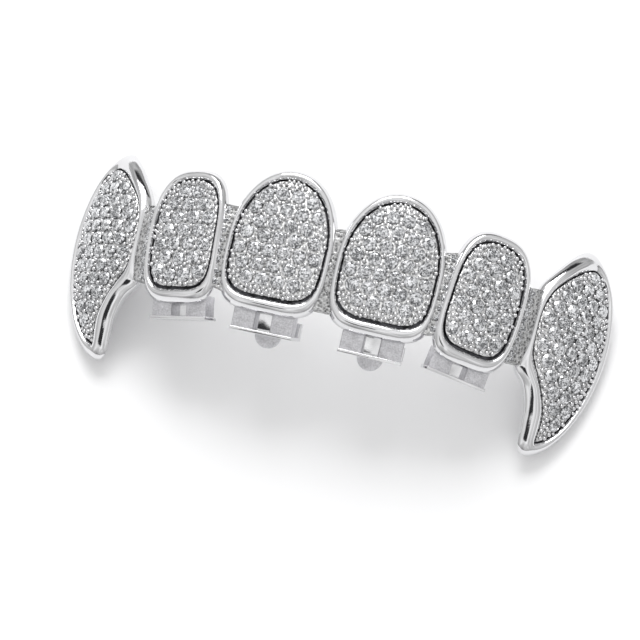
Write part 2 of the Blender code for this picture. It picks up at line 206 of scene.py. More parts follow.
# Brackets behind the biting edges
LUG_SETBACK = 0.0010
LUG_RECESS = 0.0007
LUG_DEPTH = 0.0015
SHELF_THICKNESS = 0.0003
SEAT_DEPTH = 0.0036
SHELF_LIP = 0.0002
BRACKET_LEAN = math.radians(12)
BRACKET_ROOT = 1.2
UPSTAND_THICKNESS = 0.0007
UPSTAND_HEIGHT = 0.0015
RECESS_SPREAD = 1.3
EDGE_ROUNDING = 0.00007
LUG_ROUNDING = 0.000112
TONGUE_ROUNDING = 0.000238
TONGUE_STEPS = 24

# The camera that the photograph was taken with, fitted to the outlines of the six caps: turns about the
# jewel, distance from the middle of the arch, focal length and the middle of the arch in pixels
PHOTO_YAW = math.radians(7)
PHOTO_PITCH = math.radians(12.5)
PHOTO_ROLL = math.radians(13.8)
PHOTO_DISTANCE = 0.220
PHOTO_FOCAL = 2684
PHOTO_SIZE = 640
ARCH_PIXEL = (333.5, 254.0)
SENSOR_WIDTH = 36.0

FLOOR_SIDE = 1.6

# Tones of the surround from straight down (0) over level (0.5) to straight up (1), and the two dark cards in
# it: one beyond the gum edges and a small one over the biting edges
DOME_STOPS = ((0.0, 0.50), (0.5, 0.42), (0.60, 0.55), (0.72, 0.70), (0.88, 0.92), (1.0, 0.95))
BACK_BAND = ((0.62, 0.0), (0.635, 1.0), (0.72, 1.0), (0.735, 0.0))
BACK_REACH = ((0.91, 0.0), (0.925, 1.0))
FRONT_BAND = ((0.845, 0.0), (0.855, 1.0), (0.925, 1.0), (0.935, 0.0))
FRONT_REACH = ((0.285, 1.0), (0.295, 0.0))
FRONT_SIDES = ((0.28, 0.0), (0.295, 1.0), (0.515, 1.0), (0.53, 0.0))
DARK_CARD = (0.03, 0.03, 0.032)
KEY_PLACE = (-0.10, 0.42, 0.42)
KEY_SIDE = 0.36
KEY_POWER = 2.3


def length(name, description, default):
    return bpy.props.FloatProperty(
        name=name, description=description, default=default, unit="LENGTH", subtype="DISTANCE", precision=5
    )


def colour(name, description, default):
    return bpy.props.FloatVectorProperty(
        name=name, description=description, default=default, size=3, subtype="COLOR", min=0.0, max=1.0
    )


class JewelSizes(bpy.types.PropertyGroup):
    """Driving sizes of the jewel."""

    central_width: length("Central width", "Width of a central cap", 0.0092)
    central_rise: length("Central rise", "Height of a central cap above its middle line", 0.0066)
    central_drop: length("Central drop", "Depth of a central cap below its middle line", 0.0058)
    lateral_width: length("Lateral width", "Width of a lateral cap", 0.0072)
    lateral_rise: length("Lateral rise", "Height of a lateral cap above its middle line", 0.0062)
    lateral_drop: length("Lateral drop", "Depth of a lateral cap below its middle line", 0.0055)
    fang_width: length("Fang width", "Width of a fang cap", 0.0089)
    fang_rise: length("Fang rise", "Height of a fang cap above its middle line", 0.0090)
    fang_drop: length("Fang drop", "Reach of a fang below its middle line", 0.0096)
    gum_rim: length("Gum rim", "Width of the rim along the gum", 0.0009)
    side_rim: length("Side rim", "Width of the rim at the sides", 0.0006)
    bite_rim: length("Bite rim", "Width of the rim along the biting edge", 0.00108)
    fang_rim: length("Fang rim", "Driving width of a fang's rim", 0.0010)
    groove: length("Groove", "Gap between the stones' plate and the rim", 0.00014)
    foot_groove: length("Foot groove", "How much wider the groove is along the biting edge", 0.00009)
    plate_sink: length("Plate sink", "How far the stones' plate lies below the face", 0.00022)
    pocket_depth: length("Pocket depth", "Depth of the pocket below the face", 0.0006)
    web: length("Web", "Metal between the pocket and the hollow behind it", 0.0004)
    cap_depth: length("Cap depth", "Depth of a cap from face to back", 0.0013)
    tip_depth: length("Tip depth", "Depth of a fang at its tip", 0.0009)
    back_draft: length("Back draft", "How much the outer wall draws in towards the back", 0.0003)
    wall: length("Wall", "Width of the metal round a hollow", 0.0007)
    stone: length("Stone", "Diameter of a stone in the caps", 0.00118)
    bead: length("Bead", "Largest radius of a bead that holds the stones", 0.00020)
    least_bead: length("Least bead", "Smallest radius of a bead", 0.00014)
    strip_stone: length("Strip stone", "Diameter of a stone in the strips", 0.00050)
    strip_sink: length("Strip sink", "How far the strips lie below the faces", 0.00026)
    strip_bulge: length("Strip bulge", "Swelling of a strip across its middle", 0.00014)
    strip_depth: length("Strip depth", "Depth of a strip's back below the faces", 0.0011)
    strip_notch: length("Strip notch", "How far a strip's top dips between its caps", 0.00045)
    bracket_width: length("Bracket width", "Width of a bracket behind a front cap", 0.0052)
    lug_width: length("Lug width", "Width of a blasted lug", 0.0019)
    central_bracket: length("Central bracket", "How far a central cap's bracket hangs below it", 0.0014)
    lateral_bracket: length("Lateral bracket", "How far a lateral cap's bracket hangs below it", 0.0009)
    tongue_radius: length("Tongue radius", "Radius of the round tongue", 0.0011)


class JewelColours(bpy.types.PropertyGroup):
    """Colours of the jewel and its stage."""

    silver: colour("Silver", "Polished silver", (0.77, 0.77, 0.78))
    blasted: colour("Blasted", "Blasted silver on the lugs", (0.74, 0.735, 0.76))
    # Groove: painted shade, a near black standing for the shade at the foot of the grooves
    groove: colour("Groove", "Dark metal at the foot of the grooves", (0.030, 0.030, 0.033))
    # Facet colours are painted light: the bright one a painted reflection, the dark one light passing through
    # the stone
    stone_light: colour("Bright facets", "Facets that throw light back", (0.97, 0.98, 1.0))
    stone_dark: colour("Dark facets", "Facets that the light passes through", (0.085, 0.088, 0.095))
    floor: colour("Floor", "Floor under the jewel", (0.96, 0.96, 0.965))


def sizes():
    return bpy.context.scene.jewel_sizes


def colours():
    return bpy.context.scene.jewel_colours


# Outlines and caps


def oval(width, rise, drop, powers, count):
    """A closed outline from the top, clockwise: a rounded box with its own roundness above and below."""
    dense = np.linspace(0, 2 * math.pi, 2881)
    power = 2 / np.where(np.cos(dense) > 0, *powers)
    across = np.sign(np.sin(dense)) * np.abs(np.sin(dense)) ** power * width / 2
    reach = np.where(np.cos(dense) > 0, rise, drop)
    up = np.sign(np.cos(dense)) * np.abs(np.cos(dense)) ** power * reach
    steps = np.hypot(np.diff(across), np.diff(up))
    walked = np.concatenate([[0], np.cumsum(steps)])
    stops = np.arange(count) * walked[-1] / count
    return np.column_stack([np.interp(stops, walked, across), np.interp(stops, walked, up)])


def closed_curve(knots, count):
    """Points of a smooth closed curve through the knots."""
    points = []
    for i in range(count):
        place = i * len(knots) / count
        start = int(place)
        t = place - start
        a, b, c, d = (knots[(start + step) % len(knots)] for step in (-1, 0, 1, 2))
        bend = 2 * a - 5 * b + 4 * c - d
        twist = 3 * b - a - 3 * c + d
        points.append(b + 0.5 * t * ((c - a) + t * (bend + t * twist)))
    return np.array(points)


class ToothCap:
    """A front cap: its outline, rims and roundness, and its place on the arch."""

    has_bracket = True

    def __init__(self, name, turn, sink, round_across, powers, spin=0.0):
        self.name = name
        self.width = getattr(sizes(), name + "_width")
        self.rise = getattr(sizes(), name + "_rise")
        self.drop = getattr(sizes(), name + "_drop")
        self.turn = turn
        self.sink = sink
        self.round_across = round_across
        self.powers = powers
        self.spin = spin

    def trimmed_oval(self, side, top, foot, count):
        """The cap's oval, less a margin at each side, at the top and at the foot."""
        return oval(self.width - 2 * side, self.rise - top, self.drop - foot, self.powers, count)

    def outline(self, rim=0.0, inset=0.0):
        """The face outline, taken inwards by a share of the rim and by a plain distance."""
        side = rim * sizes().side_rim + inset
        top = rim * sizes().gum_rim + inset
        foot = rim * sizes().bite_rim + inset
        return self.trimmed_oval(side, top, foot, RIM_POINTS)

    def plate(self, inset=0.0):
        """Outline of the plate that the stones are set in."""
        size = sizes()
        gap = size.groove + inset
        return self.trimmed_oval(
            size.side_rim + gap, size.gum_rim + gap, size.bite_rim + size.foot_groove + gap, RIM_POINTS
        )

    def hollow(self, inset=0.0):
        margin = sizes().wall + inset
        return self.trimmed_oval(margin, margin, margin, HOLLOW_POINTS)

    def spine(self, v):
        """The middle line of the outline."""
        return 0 * v

    def depth(self, v):
        return sizes().cap_depth + 0 * v

    def face(self, u, v):
        """Height of the rounded face at u, v."""
        return -(u**2) / (2 * self.round_across) - v**2 / (2 * LONG_ROUND)

    def outwards(self, u, v):
        """Direction out of the rounded face at u, v."""
        return Vector((u / self.round_across, v / LONG_ROUND, 1)).normalized()


class FangCap(ToothCap):
    """A fang cap: hollow behind the tooth, and solid down its curved tip."""

    has_bracket = False

    def outline(self, rim=0.0, inset=0.0):
        knots = []
        for across, up, step_across, step_up in FANG_OUTLINE:
            height = up * (self.rise if up > 0 else self.drop)
            step = Vector((step_across, step_up))
            step *= rim * sizes().fang_rim + inset / step.length
            knots.append((across * self.width / 2 + step.x, height + step.y))
        return closed_curve(np.array(knots), RIM_POINTS)

    def plate(self, inset=0.0):
        return self.outline(1.0, sizes().groove + inset)

    def hollow(self, inset=0.0):
        across, up, half_width, half_height = FANG_HOLLOW
        middle = (across * self.width / 2, up * self.rise)
        tall = half_height * self.rise - inset
        return oval(half_width * self.width - 2 * inset, tall, tall, self.powers, HOLLOW_POINTS) + middle

    def spine(self, v):
        outer, inner = sides_of(self.outline())
        return (np.interp(v, outer[:, 1], outer[:, 0]) + np.interp(v, inner[:, 1], inner[:, 0])) / 2

    def depth(self, v):
        reach = np.clip(-v / self.drop, 0, 1)
        return sizes().cap_depth + (sizes().tip_depth - sizes().cap_depth) * reach * reach


def sides_of(outline):
    """The side away from the middle of the mouth and the side towards it, each from the foot up."""
    top = outline[:, 1].argmax()
    turned = np.roll(outline, -top, axis=0)
    foot = turned[:, 1].argmin()
    outer = turned[: foot + 1]
    inner = np.vstack([turned[foot:], turned[:1]])
    return outer[outer[:, 1].argsort()], inner[inner[:, 1].argsort()]


def tooth_caps():
    central = ToothCap("central", CENTRAL_TURN, 0.0, CENTRAL_ROUND, CENTRAL_POWERS)
    lateral = ToothCap("lateral", LATERAL_TURN, LATERAL_SINK, LATERAL_ROUND, LATERAL_POWERS, LATERAL_SPIN)
    fang = FangCap("fang", FANG_TURN, FANG_SINK, FANG_ROUND, HOLLOW_POWERS)
    place_on_arch([central, lateral, fang], [CENTRE_GAP / 2, LATERAL_GAP, FANG_GAP])
    return [central, lateral, fang]


def place_on_arch(caps, gaps):
    """Walks along the arch from the middle of the mouth, and gives each cap its matrix on the right side."""
    rest = Matrix.Translation((0, REST_BACK, REST_LIFT)) @ Matrix.Rotation(REST_TURN, 4, "X")
    x = z = turn = 0.0
    for cap, gap in zip(caps, gaps):
        between = (turn + cap.turn) / 2
        x += gap * math.cos(between) + cap.width / 2 * math.cos(cap.turn)
        z -= gap * math.sin(between) + cap.width / 2 * math.sin(cap.turn)
        stand = Matrix.Translation((x, -cap.sink, z)) @ Matrix.Rotation(cap.turn, 4, "Y")
        cap.matrix = rest @ stand @ Matrix.Rotation(cap.spin, 4, "Z")
        x += cap.width / 2 * math.cos(cap.turn)
        z -= cap.width / 2 * math.sin(cap.turn)
        turn = cap.turn


def on_face(cap, points, lift):
    """Points of the cap's plane as 3D points on its rounded face, raised by lift."""
    return np.column_stack([points, cap.face(points[:, 0], points[:, 1]) + lift])


def on_back(cap, points, share=1.0, start=0.0):
    """Points on the cap's back, or a share of the way down to it from a lift."""
    return on_face(cap, points, start + (-cap.depth(points[:, 1]) - start) * share)


def shrunk(cap, points, share):
    """An outline drawn in towards its middle, along the cap's middle line."""
    low, high = points[:, 1].min(), points[:, 1].max()
    middle = (low + high) / 2
    v = middle + (points[:, 1] - middle) * share
    u = cap.spine(v) + (points[:, 0] - cap.spine(points[:, 1])) * share
    return np.column_stack([u, v])


def inner_rings(cap, outline, lift):
    """Rings on the face at a lift, from near the outline in towards its middle."""
    return [on_face(cap, shrunk(cap, outline, share), lift) for share in INNER_SHARES]


# Modelling


def start_alone():
    if bpy.context.object and bpy.context.object.mode != "OBJECT":
        set_mode("OBJECT")
    bpy.ops.object.select_all(action="DESELECT")


def set_mode(mode):
    bpy.ops.object.mode_set(mode=mode)


def on_all(operator, **options):
    """Runs an edit mode operator on the whole mesh."""
    bpy.ops.mesh.select_all(action="SELECT")
    operator(**options)


def put_ring(piece, places, index=None):
    """Moves the selected ring in edit mode, each point to the place of its own number. With an index, it gives
    the faces of the last step their material, which they would else take from the step before."""
    mesh = bmesh.from_edit_mesh(piece.data)
    number = mesh.verts.layers.int["number"]
    for vert in mesh.verts:
        if vert.select:
            vert.co = places[vert[number]]
    if index is not None:
        mesh.faces.ensure_lookup_table()
        for face in mesh.faces[len(mesh.faces) - len(places) :]:
            face.material_index = index
    bmesh.update_edit_mesh(piece.data)


def loft(name, rings, shaded_steps=()):
    """A closed body: a circle put on the first ring, extruded from ring to ring, and filled at both ends."""
    start_alone()
    bpy.ops.mesh.primitive_circle_add(vertices=len(rings[0]), radius=1.0)
    piece = bpy.context.object
    piece.name = name
    numbers = piece.data.attributes.new("number", "INT", "POINT")
    numbers.data.foreach_set("value", range(len(rings[0])))
    set_mode("EDIT")
    bpy.ops.mesh.select_mode(type="EDGE")
    bpy.ops.mesh.select_all(action="SELECT")
    put_ring(piece, rings[0])
    for step, ring in enumerate(rings[1:]):
        bpy.ops.mesh.extrude_edges_move()
        # Listed steps take the second material; the caps and plates give it the groove's painted shade
        put_ring(piece, ring, int(step in shaded_steps))
    on_all(bpy.ops.mesh.fill_holes, sides=0)
    on_all(bpy.ops.mesh.normals_make_consistent, inside=False)
    set_mode("OBJECT")
    piece.data.attributes.remove(piece.data.attributes["number"])
    bpy.ops.object.shade_smooth()
    return piece


def slab(name, outline, shift, bevel):
    """A flat outline pulled out by shift, with its edges rounded."""
    start_alone()
    bpy.ops.mesh.primitive_circle_add(vertices=len(outline), fill_type="NGON")
    piece = bpy.context.object
    piece.name = name
    for vert, place in zip(piece.data.vertices, outline):
        vert.co = place
    set_mode("EDIT")
    on_all(bpy.ops.mesh.extrude_region_move, TRANSFORM_OT_translate={"value": shift})
    on_all(bpy.ops.mesh.normals_make_consistent, inside=False)
    set_mode("OBJECT")
    rounding = piece.modifiers.new("rounding", "BEVEL")
    rounding.width = bevel
    rounding.segments = 4
    rounding.limit_method = "ANGLE"
    bpy.ops.object.modifier_apply(modifier=rounding.name)
    bpy.ops.object.shade_smooth_by_angle(angle=math.radians(35))
    return piece


def cut_away(piece, cutter):
    """Takes the cutter's shape out of the piece."""
    cut = piece.modifiers.new("cut", "BOOLEAN")
    cut.operation = "DIFFERENCE"
    cut.solver = "EXACT"
    cut.object = cutter
    make_active(piece)
    bpy.ops.object.modifier_apply(modifier=cut.name)
    bpy.data.objects.remove(cutter)


def make_active(piece):
    start_alone()
    piece.select_set(True)
    bpy.context.view_layer.objects.active = piece


def mirror_copy(piece, name):
    """The left twin of a right-hand piece."""
    twin = piece.copy()
    twin.data = piece.data.copy()
    twin.name = name
    bpy.context.scene.collection.objects.link(twin)
    twin.data.transform(FLIP)
    twin.data.flip_normals()
    return twin


def joined(name, pieces):
    """Several pieces as one."""
    start_alone()
    for piece in pieces:
        piece.select_set(True)
    bpy.context.view_layer.objects.active = pieces[0]
    if len(pieces) > 1:
        bpy.ops.object.join()
    pieces[0].name = name
    pieces[0].data.name = name
    return pieces[0]


def dress(piece, *materials):
    for material in materials:
        piece.data.materials.append(material)
    return piece


def hand_over(piece, slot, *nodes):
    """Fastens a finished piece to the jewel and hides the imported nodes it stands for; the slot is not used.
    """
    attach(piece, BODY)
    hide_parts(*nodes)


# Materials


class Flow:
    """A value in a material's node tree. Sums on values add their Math nodes."""

    def __init__(self, tree, socket=None):
        self.tree = tree
        self.socket = socket

    def node(self, kind, settings=None, sockets=None, output=0):
        """Any node, by its type, its settings and the values or links of its sockets."""
        made = self.tree.nodes.new(kind)
        for key, setting in (settings or {}).items():
            if key == "stops":
                self.set_stops(made.color_ramp, setting)
            else:
                setattr(made, key, setting)
        for key, given in (sockets or {}).items():
            if isinstance(given, Flow):
                self.tree.links.new(given.socket, made.inputs[key])
            else:
                made.inputs[key].default_value = given
        return Flow(self.tree, made.outputs[output])

    @staticmethod
    def set_stops(ramp, stops):
        while len(ramp.elements) < len(stops):
            ramp.elements.new(0.5)
        for element, (place, shade) in zip(ramp.elements, stops):
            element.position = place
            element.color = (shade, shade, shade, 1.0)

    def maths(self, operation, first, second):
        return self.node("ShaderNodeMath", {"operation": operation}, {0: first, 1: second})

    def __add__(self, other):
        return self.maths("ADD", self, other)

    __radd__ = __add__

    def __sub__(self, other):
        return self.maths("SUBTRACT", self, other)

    def __rsub__(self, other):
        return self.maths("SUBTRACT", other, self)

    def __mul__(self, other):
        return self.maths("MULTIPLY", self, other)

    __rmul__ = __mul__

    def noise(self, scale, detail=3.0):
        """Noise over this place."""
        return self.node("ShaderNodeTexNoise", sockets={"Vector": self, "Scale": scale, "Detail": detail})

    def ramp(self, stops):
        return self.node("ShaderNodeValToRGB", {"stops": stops}, {"Fac": self})

    def mix(self, first, second):
        """Two colours, or flows of colour, mixed by this value."""
        ends = [shade if isinstance(shade, Flow) else (*shade, 1.0) for shade in (first, second)]
        return self.node("ShaderNodeMix", {"data_type": "RGBA"}, {0: self, 6: ends[0], 7: ends[1]}, 2)

    def shades(self, shade, low, high):
        """One colour from a low share of it to a high one."""
        return self.mix(*(tuple(min(1.0, part * share) for part in shade) for share in (low, high)))


class Finish:
    """A material, with constants on its shader's own sockets and the place that its patterns follow."""

    def __init__(self, name, **constants):
        self.material = bpy.data.materials.new(name)
        self.material.use_nodes = True
        self.shader = self.material.node_tree.nodes["Principled BSDF"]
        for key, value in constants.items():
            self.shader.inputs[key.replace("_", " ")].default_value = value
        self.place = Flow(self.material.node_tree).node("ShaderNodeTexCoord", output=3)

    def feed(self, socket, flow):
        flow.tree.links.new(flow.socket, self.shader.inputs[socket])

    def bump(self, strength, distance, height):
        sockets = {"Strength": strength, "Distance": distance, "Height": height}
        self.feed("Normal", height.node("ShaderNodeBump", sockets=sockets))


def polished_silver():
    """Hand-polished casting: a soft ripple left by the wheel, hairline scratches and faint smears."""
    finish = Finish("polished_silver", Metallic=1.0)
    smear = finish.place.noise(380.0)
    lengthwise = {"Vector": finish.place, "Rotation": (0.4, 0.2, 0.7), "Scale": (1.0, 14.0, 4.0)}
    scratch = finish.place.node("ShaderNodeMapping", sockets=lengthwise).noise(2600.0, 6.0)
    finish.feed("Base Color", smear.shades(colours().silver, 0.95, 1.05))
    finish.feed("Roughness", 0.035 + smear * 0.05 + scratch * 0.04)
    finish.bump(0.5, 0.00006, finish.place.noise(620.0, 1.0) * 0.8 + scratch * 0.05)
    return finish.material


def blasted_silver():
    """Bead-blasted metal of the lugs: a fine mottled grain that scatters light."""
    finish = Finish("blasted_silver", Metallic=1.0)
    grain = finish.place.noise(7500.0, 4.0)
    mottle = grain * 1.6 + finish.place.noise(1900.0) - 0.8
    finish.feed("Base Color", mottle.shades(colours().blasted, 0.66, 1.14))
    finish.feed("Roughness", 0.32 + grain * 0.20)
    finish.bump(0.8, 0.00005, grain)
    return finish.material


def setting_silver(share=1.0):
    """Metal cut up between the stones: bright where the graver passed, with painted shade in the cuts."""
    finish = Finish("setting_silver", Metallic=1.0)
    cuts = finish.place.node("ShaderNodeTexVoronoi", sockets={"Vector": finish.place, "Scale": 3600.0})
    fine = finish.place.noise(9000.0)
    relief_and_shade = cuts * 0.9 + fine * 0.5
    # Base colour: painted shade near black in the cuts, rising to bright silver between them
    finish.feed("Base Color", relief_and_shade.ramp(((0.25, 0.05 * share), (0.55, 0.42 * share), (0.85, 0.95 * share))))
    finish.feed("Roughness", 0.16 + fine * 0.22)
    finish.bump(0.9, 0.00006, relief_and_shade)
    return finish.material


def shaded_groove_silver():
    """Painted shade at the foot of the grooves: dull metal painted dark, black in places."""
    finish = Finish("shaded_groove_silver", Metallic=0.6)
    shade_breakup = finish.place.noise(1500.0)
    # Painted shade: noise breaks the dark line up from black to mid grey along its length
    finish.feed("Base Color", (shade_breakup * 2.4 - 0.8).shades(colours().groove, 0.5, 9.0))
    finish.feed("Roughness", 0.35 + shade_breakup * 0.3)
    return finish.material


def bead_silver():
    """Burnished beads: brighter and a little rougher than the rims."""
    finish = Finish("bead_silver", Metallic=1.0)
    wear = finish.place.noise(3200.0)
    finish.feed("Base Color", wear.shades(colours().silver, 0.80, 1.12))
    finish.feed("Roughness", 0.06 + wear * 0.10)
    return finish.material


def clear_stone():
    """Brilliant-cut stones: each facet's painted glint sets its colour, from dark for light passing through to
    bright for a painted reflection, under a hard clear surface.
    """
    finish = Finish("clear_stone", Metallic=0.55, Coat_Weight=1.0, Coat_Roughness=0.02)
    glint = finish.place.node("ShaderNodeAttribute", {"attribute_name": "glint"}, output=2)
    # Fine noise painted into the colour: painted sparkle
    inner = finish.place.noise(11000.0, 1.0)
    painted_facet_light = glint * 0.85 + inner * 3.4 - 1.64
    finish.feed("Base Color", painted_facet_light.mix(colours().stone_dark, colours().stone_light))
    finish.feed("Roughness", 0.03 + inner * 0.05)
    return finish.material


# Caps


def cap_rings(cap):
    """Rings of a solid cap, from the middle of its pocket over the rim to the middle of its back."""
    size = sizes()
    floor = cap.outline(1.0)
    rings = inner_rings(cap, floor, -size.pocket_depth)[::-1]
    rings += [on_face(cap, cap.outline(rim), lift) for rim, lift in RIM_SECTION]
    start = RIM_SECTION[-1][1]
    for draft, down in WALL_SECTION:
        rings.append(on_back(cap, cap.outline(0.0, draft * size.back_draft), down, start))
    back = cap.outline(0.0, WALL_SECTION[-1][0] * size.back_draft)
    rings += [on_back(cap, shrunk(cap, back, share)) for share in INNER_SHARES]
    return rings


def hollow_cutter(cap):
    """The body that cuts a cap's hollow: straight walls, a rounded corner and a floor along the face."""
    size = sizes()
    floor = -size.pocket_depth - size.web
    mouth = cap.hollow()
    below = -2 * size.cap_depth
    rings = inner_rings(cap, mouth, below)[::-1]
    rings.append(on_face(cap, mouth, below))
    rings += [on_face(cap, cap.hollow(inset), floor - rise) for inset, rise in HOLLOW_CORNER]
    rings += inner_rings(cap, cap.hollow(HOLLOW_CORNER[-1][0]), floor)
    return loft("cutter", rings)


class JEWEL_OT_caps(bpy.types.Operator):
    """Polished caps: rounded rims round sunk pockets, drafted walls and hollow backs"""

    bl_idname = "jewel.caps"
    bl_label = "Polished caps"

    def execute(self, context):
        silver = polished_silver()
        groove = shaded_groove_silver()
        for cap in tooth_caps():
            # The pocket's border and the foot of the rim take the groove material, painted shade
            groove_start = len(INNER_SHARES) - 1
            dark = range(groove_start, groove_start + SHADED_GROOVE_STEPS)
            piece = loft(cap.name + "_caps", cap_rings(cap), dark)
            dress(piece, silver, groove)
            cut_away(piece, hollow_cutter(cap))
            make_active(piece)
            bpy.ops.object.shade_smooth_by_angle(angle=math.radians(50))
            piece.data.transform(cap.matrix)
            piece = joined(cap.name + "_caps", [piece, mirror_copy(piece, "twin")])
            hand_over(piece, METAL_SLOT, CASTING)
        return {"FINISHED"}


# Stones and beads


def cut_stone():
    """One brilliant-cut stone of girdle radius 1: a drum cut down facet by facet."""
    start_alone()
    bpy.ops.mesh.primitive_cylinder_add(vertices=16, radius=1.0, depth=2.4)
    piece = bpy.context.object
    set_mode("EDIT")
    crown_height = (1 - TABLE_SHARE) * math.tan(math.radians(CROWN_SLOPE))
    cut_facets(16, GIRDLE_SLOPE, 1.0, GIRDLE_HALF, 0.5)
    cut_facets(8, CROWN_SLOPE, 1.0, GIRDLE_HALF + 0.01, 0.0)
    star_height = GIRDLE_HALF + crown_height
    cut_facets(8, STAR_SLOPE, TABLE_SHARE * math.cos(math.pi / 8) + 0.02, star_height, 0.5)
    cut_plane((0, 0, star_height), (0, 0, 1))
    cut_facets(16, -PAVILION_SLOPE, 1.0, -GIRDLE_HALF, 0.5)
    on_all(bpy.ops.mesh.remove_doubles, threshold=0.004)
    set_mode("OBJECT")
    return piece, star_height


def cut_facets(count, slope, reach, height, offset):
    """Grinds a ring of facets, each leaning by slope and passing through reach at a height."""
    lean = math.radians(abs(slope))
    rise = math.copysign(math.cos(lean), slope)
    for i in range(count):
        angle = 2 * math.pi * (i + offset) / count
        out = (math.cos(angle), math.sin(angle))
        share = math.cos(math.pi / 16) if count == 16 else 1.0
        place = (out[0] * reach * share, out[1] * reach * share, height)
        cut_plane(place, (out[0] * math.sin(lean), out[1] * math.sin(lean), rise))


def cut_plane(place, direction):
    on_all(bpy.ops.mesh.bisect, plane_co=place, plane_no=direction, use_fill=True, clear_outer=True)


def split_table(piece, height):
    """Cuts the table into wedges, whose glints stand for the pattern seen through it."""
    make_active(piece)
    set_mode("EDIT")
    bpy.ops.mesh.select_mode(type="FACE")
    mesh = bmesh.from_edit_mesh(piece.data)
    for face in mesh.faces:
        face.select_set(face.calc_center_median().z > height - 0.01)
    bmesh.update_edit_mesh(piece.data)
    bpy.ops.mesh.poke()
    set_mode("OBJECT")


def bead():
    """One bead of radius 1."""
    start_alone()
    bpy.ops.mesh.primitive_uv_sphere_add(segments=10, ring_count=6, radius=1.0)
    piece = bpy.context.object
    bpy.ops.object.shade_smooth()
    return piece


def set_glints(data, chance, dim):
    """Gives every facet its own painted glint, drawn from those of its kind."""
    glint = data.attributes.get("glint") or data.attributes.new("glint", "FLOAT", "FACE")
    values = []
    for face in data.polygons:
        rise = face.normal.z
        if rise > 0.99:
            choices = TABLE_GLINTS
        elif rise > math.cos(math.radians((STAR_SLOPE + CROWN_SLOPE) / 2)):
            choices = STAR_GLINTS
        elif rise > math.cos(math.radians((GIRDLE_SLOPE + CROWN_SLOPE) / 2)):
            choices = KITE_GLINTS
        else:
            choices = LOWER_GLINTS
        value = chance.choice(choices) - dim + chance.gauss(0, GLINT_SPREAD)
        values.append(min(1.0, max(0.0, value)))
    glint.data.foreach_set("value", values)


def scatter(template, name, matrices, chance=None, dim=0.0):
    """Copies of a small piece at each matrix, as one piece, each with its own glints."""
    copies = []
    for matrix in matrices:
        copy = template.copy()
        copy.data = template.data.copy()
        bpy.context.scene.collection.objects.link(copy)
        if chance:
            set_glints(copy.data, chance, dim)
        copy.data.transform(matrix)
        copies.append(copy)
    return joined(name, copies)


def facing(place, outwards, radius, turn=0.0, tilt=0.0, tilt_turn=0.0):
    """A matrix that stands a small piece on place, facing outwards, turned and tilted a little."""
    stand = outwards.to_track_quat("Z", "Y").to_matrix().to_4x4()
    lean = Matrix.Rotation(tilt_turn, 4, "Z") @ Matrix.Rotation(tilt, 4, "X")
    spin = Matrix.Rotation(turn, 4, "Z")
    return Matrix.Translation(place) @ stand @ lean @ spin @ Matrix.Scale(radius, 4)


def packed_tables(node):
    """Centre and direction of each stone's table in a packed stone field, found on a merged copy."""
    copy = node.copy()
    copy.data = node.data.copy()
    copy.parent = None
    bpy.context.scene.collection.objects.link(copy)
    copy.hide_viewport = False
    make_active(copy)
    set_mode("EDIT")
    on_all(bpy.ops.mesh.remove_doubles, threshold=1e-6)
    on_all(bpy.ops.mesh.dissolve_limited, angle_limit=math.radians(0.5))
    set_mode("OBJECT")
    flats = [face for face in copy.data.polygons if len(face.vertices) == TABLE_CORNERS]
    usual = sorted(face.area for face in flats)[len(flats) // 2]
    tables = [
        (face.center.copy(), face.normal.copy())
        for face in flats
        if abs(face.area / usual - 1) < TABLE_TOLERANCE
    ]
    bpy.data.objects.remove(copy)
    return tables


def clearances(points, outline):
    """Distance of each point in from an outline, negative outside it."""
    along = np.roll(outline, -1, axis=0) - outline
    offset = points[:, None] - outline
    share = np.clip((offset * along).sum(2) / (along**2).sum(1), 0, 1)
    gap = np.linalg.norm(offset - share[..., None] * along, axis=2).min(axis=1)
    level = along[:, 1] == 0
    slope = along[:, 0] / np.where(level, 1, along[:, 1])
    beside = (offset[..., 1] < 0) != (offset[..., 1] < along[:, 1])
    crossed = beside & (offset[..., 0] < offset[..., 1] * slope)
    return np.where(crossed.sum(axis=1) % 2 == 1, gap, -gap)


def bead_places(outline, stones, stone_radius, most, least):
    """Fills the gaps between stones with beads, largest gap first: (u, v, radius) of each."""
    low, high = outline.min(axis=0), outline.max(axis=0)
    step = least * 0.7
    across, up = np.meshgrid(np.arange(low[0], high[0], step), np.arange(low[1], high[1], step))
    spots = np.column_stack([across.ravel(), up.ravel()])
    room = clearances(spots, outline)
    for stone in stones:
        room = np.minimum(room, np.linalg.norm(spots - stone, axis=1) - stone_radius + BEAD_LAP)
    beads = []
    while True:
        best = room.argmax()
        if room[best] < least:
            return beads
        radius = min(room[best], most)
        beads.append((*spots[best], radius))
        room = np.minimum(room, np.linalg.norm(spots - spots[best], axis=1) - radius)


def plate_rings(cap):
    """Rings of the plate that the stones are set in, from the middle of its face to that of its back."""
    size = sizes()
    outline = cap.plate()
    inner = cap.plate(size.groove * 0.3)
    foot = -size.pocket_depth + size.groove / 3
    rings = inner_rings(cap, inner, -size.plate_sink)[::-1]
    rings.append(on_face(cap, inner, -size.plate_sink))
    rings.append(on_face(cap, outline, -size.plate_sink - size.groove / 3))
    rings.append(on_face(cap, outline, foot))
    return rings + inner_rings(cap, outline, foot)


